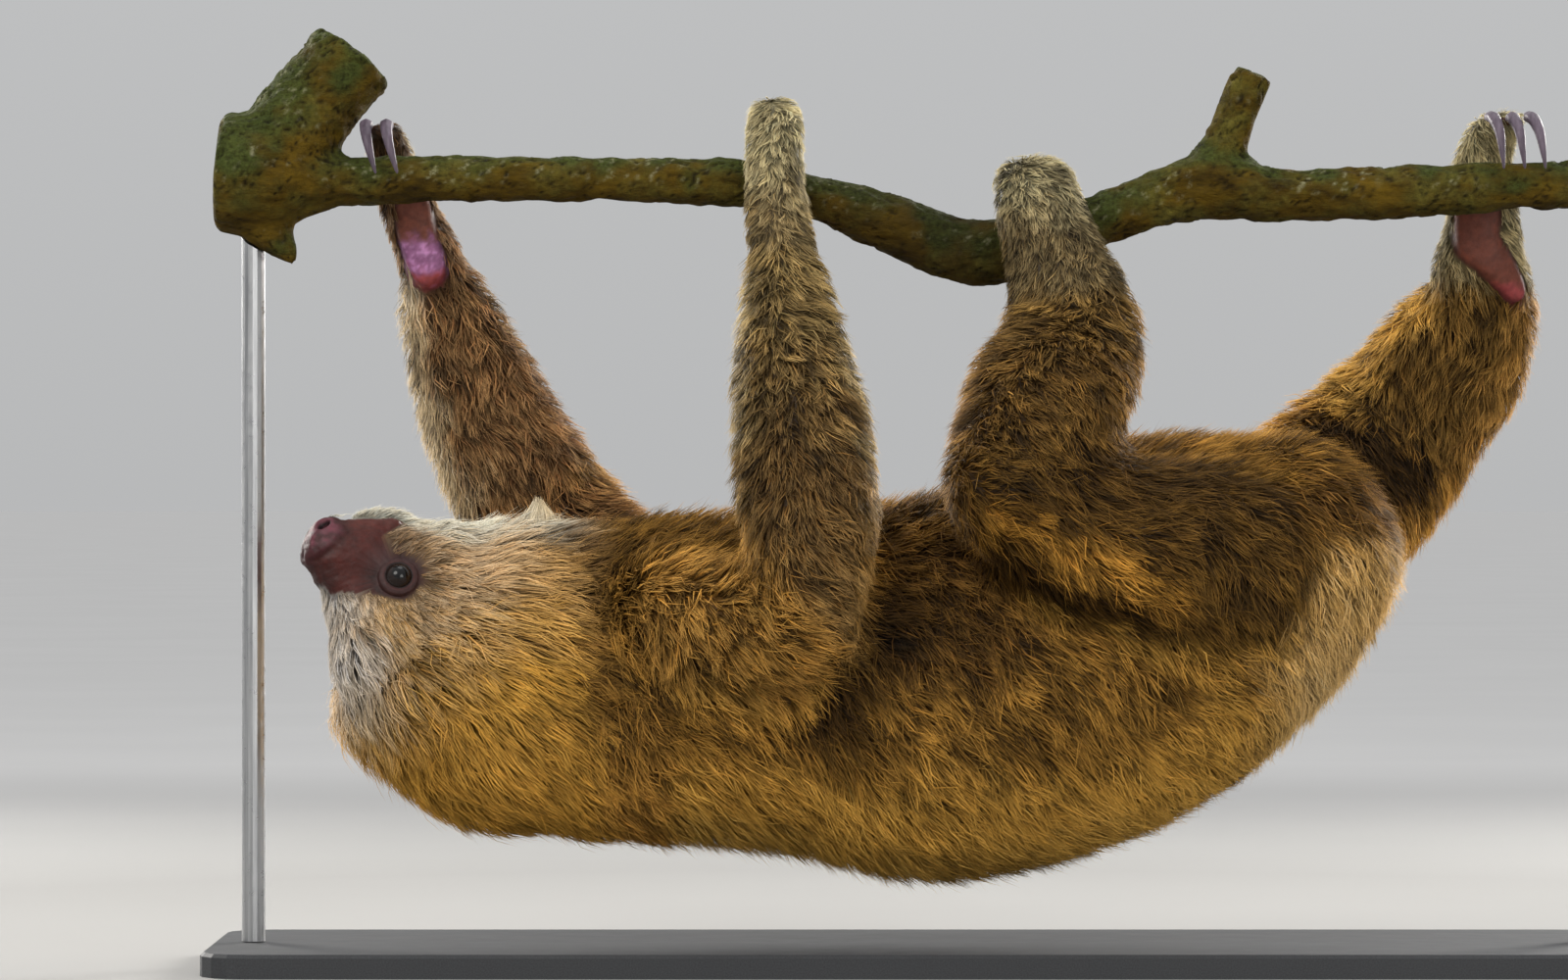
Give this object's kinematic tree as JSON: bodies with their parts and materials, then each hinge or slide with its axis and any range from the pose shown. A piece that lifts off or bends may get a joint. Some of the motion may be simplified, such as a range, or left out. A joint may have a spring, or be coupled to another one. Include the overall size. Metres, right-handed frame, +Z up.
{
  "type": "two-toed sloth model",
  "caption": "Young two-toed sloth hanging belly up by its claws under a cut length of mossy branch, as a still life-size model on a plain display stand.",
  "frame": {"origin": "on the floor under the middle of the whole object's box, in the underside of the stand's base", "axes": "+Z up, the branch along X with the animal's head toward -X, the right side of the animal toward -Y"},
  "size_m": [0.6, 0.2202, 0.4],
  "materials": {
    "pale_coat": "soft",
    "body_coat": "soft",
    "bare_skin": "matte",
    "nose_skin": "moist",
    "eye": "glossy",
    "claw": "satin",
    "bark": "rough",
    "rod": "satin",
    "base": "satin"
  },
  "bodies": {
    "root": {"head": "pale_coat", "hand_left": "pale_coat", "hand_right": "pale_coat", "foot_left": "pale_coat", "foot_right": "pale_coat", "neck": "body_coat", "chest": "body_coat", "belly": "body_coat", "pelvis": "body_coat", "upper_arm_left": "body_coat", "upper_arm_right": "body_coat", "forearm_left": "body_coat", "forearm_right": "body_coat", "thigh_left": "body_coat", "thigh_right": "body_coat", "shank_left": "body_coat", "shank_right": "body_coat", "muzzle": "bare_skin", "lower_jaw": "bare_skin", "ear_left": "bare_skin", "ear_right": "bare_skin", "nose": "nose_skin", "eye_left": "eye", "eye_right": "eye", "claw_hand_left_1": "claw", "claw_hand_left_2": "claw", "claw_hand_right_1": "claw", "claw_hand_right_2": "claw", "claw_foot_left_1": "claw", "claw_foot_left_2": "claw", "claw_foot_left_3": "claw", "claw_foot_right_1": "claw", "claw_foot_right_2": "claw", "claw_foot_right_3": "claw", "perch_branch": "bark", "stand_rod_left": "rod", "stand_rod_right": "rod", "stand_base": "base"}
  },
  "joints": []
}
